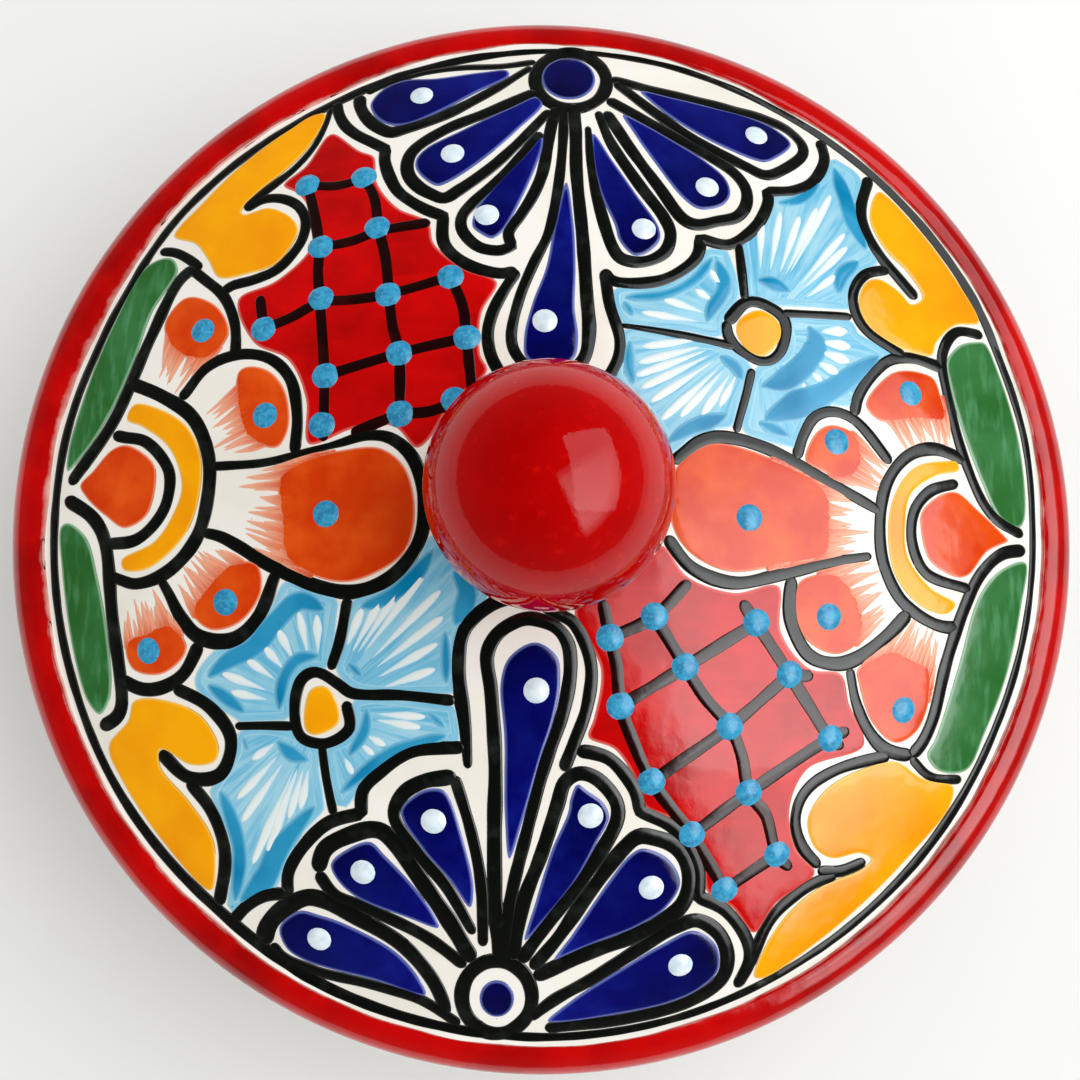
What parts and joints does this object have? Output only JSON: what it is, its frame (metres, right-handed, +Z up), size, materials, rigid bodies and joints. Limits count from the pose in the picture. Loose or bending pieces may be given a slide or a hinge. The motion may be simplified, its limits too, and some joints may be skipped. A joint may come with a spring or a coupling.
{
  "type": "tortilla warmer",
  "caption": "Round covered dish of glazed painted ceramic: a bowl on a foot ring and a lift-off domed lid with a rolled edge and a ball knob.",
  "frame": {"origin": "centre of the foot ring's underside, on the surface that the dish stands on", "axes": "+Z up along the axis of the bowl, the lid and the knob; +Y towards the fan of petals at the top of the pictured pattern; +X towards its right-hand flower"},
  "size_m": [0.245, 0.245, 0.1425],
  "materials": {
    "bowl_glaze": "glossy white glaze with a painted band, bare clay under the foot",
    "lid_glaze": "glossy white glaze with raised painted flowers, fans and a red rolled edge",
    "red_glaze": "deep glossy red glaze",
    "white_enamel": "raised glossy white enamel",
    "turquoise_enamel": "raised speckled turquoise enamel"
  },
  "bodies": {
    "base": {"base_bowl": "bowl_glaze"},
    "lid": {"lid_dome": "lid_glaze", "ball_knob": "red_glaze", "knob_slip_fillet": "red_glaze", "white_enamel_drops": "white_enamel", "turquoise_lattice_drops": "turquoise_enamel", "turquoise_petal_drops": "turquoise_enamel"}
  },
  "joints": [
    {"name": "lid_lift", "type": "slide", "parent": "base", "child": "lid", "axis": [0, 0, 1], "range_m": [0, 0.15]}
  ]
}
